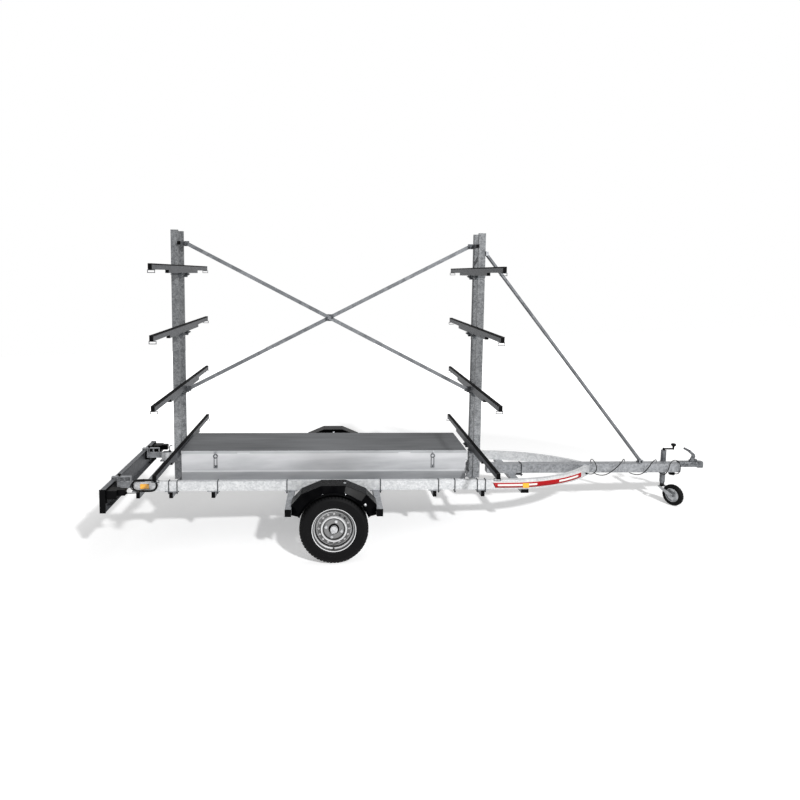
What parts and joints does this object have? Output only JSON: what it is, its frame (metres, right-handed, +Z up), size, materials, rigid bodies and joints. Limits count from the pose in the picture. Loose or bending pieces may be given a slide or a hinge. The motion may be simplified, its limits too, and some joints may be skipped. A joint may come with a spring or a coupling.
{
  "type": "canoe and rowing boat trailer",
  "caption": "Single-axle galvanised trailer with two crossbar masts for canoes, a long stowage box, jockey wheel and lighting board.",
  "frame": {"origin": "on the floor under the middle of the trailer's box, standing on its tyres and jockey wheel", "axes": "+X forward to the coupling, +Y to the trailer's left, +Z up; the frame is pitched nose down as parked"},
  "size_m": [5.2851, 2, 2.6817],
  "materials": {
    "galvanised_steel": "hot-dip galvanised, dull spangle",
    "bright_zinc": "bright zinc plate",
    "box_sheet": "plain galvanised sheet",
    "wheel_silver": "silver wheel enamel",
    "tyre_rubber": "matt tyre rubber",
    "black_plastic": "moulded black",
    "pad_rubber": "ribbed rubber",
    "jockey_bracket": "black enamel",
    "lamp_red": "clear red lens",
    "cable_rubber": "black flex"
  },
  "bodies": {
    "chassis": {"axle_arms": "galvanised_steel", "axle_beam": "galvanised_steel", "bar_clamps": "bright_zinc", "bar_end_caps": "black_plastic", "bar_pads": "pad_rubber", "bar_struts": "galvanised_steel", "brace_lugs": "galvanised_steel", "cable_glands": "black_plastic", "cable_plug": "black_plastic", "coupling_head": "bright_zinc", "coupling_lever": "bright_zinc", "cross_braces": "bright_zinc", "crossbars_front": "galvanised_steel", "crossbars_rear": "galvanised_steel", "crossmembers": "galvanised_steel", "drawbar": "galvanised_steel", "frame_packers": "galvanised_steel", "front_stay": "galvanised_steel", "jack_clamp": "galvanised_steel", "jack_crank": "black_plastic", "jack_tube": "galvanised_steel", "mast_feet": "galvanised_steel", "mast_front": "galvanised_steel", "mast_rear": "galvanised_steel", "mudguard_bearers": "galvanised_steel", "mudguard_left": "black_plastic", "mudguard_right": "black_plastic", "rail_left": "galvanised_steel", "rail_right": "galvanised_steel", "stay_brackets": "galvanised_steel", "tie_down_loops": "bright_zinc", "toolbox_hinges": "bright_zinc", "toolbox_latches": "bright_zinc", "toolbox_tub": "box_sheet", "top_tube_plugs": "black_plastic", "towing_cable": "cable_rubber", "tube_end_caps": "black_plastic"},
    "toolbox_lid": {"toolbox_lid": "box_sheet"},
    "jack_leg": {"jack_leg": "bright_zinc"},
    "jockey_fork": {"jockey_fork": "bright_zinc", "jockey_socket": "jockey_bracket"},
    "jockey_wheel": {"jockey_tyre": "tyre_rubber", "jockey_rim": "bright_zinc"},
    "wheel_right": {"tyre_right": "tyre_rubber", "rim_right": "wheel_silver", "hub_right": "bright_zinc"},
    "wheel_left": {"tyre_left": "tyre_rubber", "rim_left": "wheel_silver", "hub_left": "bright_zinc"},
    "light_carrier": {"light_board": "galvanised_steel", "board_end_caps": "black_plastic", "lamp_lenses": "lamp_red", "lamp_housings": "black_plastic", "board_arms": "galvanised_steel", "board_brackets": "galvanised_steel", "lamp_gland": "black_plastic", "lamp_lead": "cable_rubber", "lead_hank": "cable_rubber", "hank_clip": "black_plastic"}
  },
  "joints": [
    {"name": "wheel_right_spin", "type": "hinge", "parent": "chassis", "child": "wheel_right", "pos_m": [-0.80873, -0.7795, 0.272], "axis": [0, 1, 0], "continuous": true},
    {"name": "wheel_left_spin", "type": "hinge", "parent": "chassis", "child": "wheel_left", "pos_m": [-0.80873, 0.7795, 0.272], "axis": [0, 1, 0], "continuous": true},
    {"name": "jack_slide", "type": "slide", "parent": "chassis", "child": "jack_leg", "axis": [-0.0435, 0, -0.9991], "range_m": [0, 0.2]},
    {"name": "jockey_swivel", "type": "hinge", "parent": "jack_leg", "child": "jockey_fork", "pos_m": [2.29742, 0.078, 0.18484], "axis": [0.0435, 0, 0.9991], "continuous": true},
    {"name": "jockey_spin", "type": "hinge", "parent": "jockey_fork", "child": "jockey_wheel", "pos_m": [2.34967, -0.019, 0.09749], "axis": [0.8652, 0.5, -0.0377], "continuous": true},
    {"name": "lid_hinge", "type": "hinge", "parent": "chassis", "child": "toolbox_lid", "pos_m": [-0.78921, 0.303, 0.72057], "axis": [-0.9991, 0, 0.0435], "range_deg": [0, 55]},
    {"name": "light_board_slide", "type": "slide", "parent": "chassis", "child": "light_carrier", "axis": [-0.9991, 0, 0.0435], "range_m": [0, 0.5]}
  ]
}
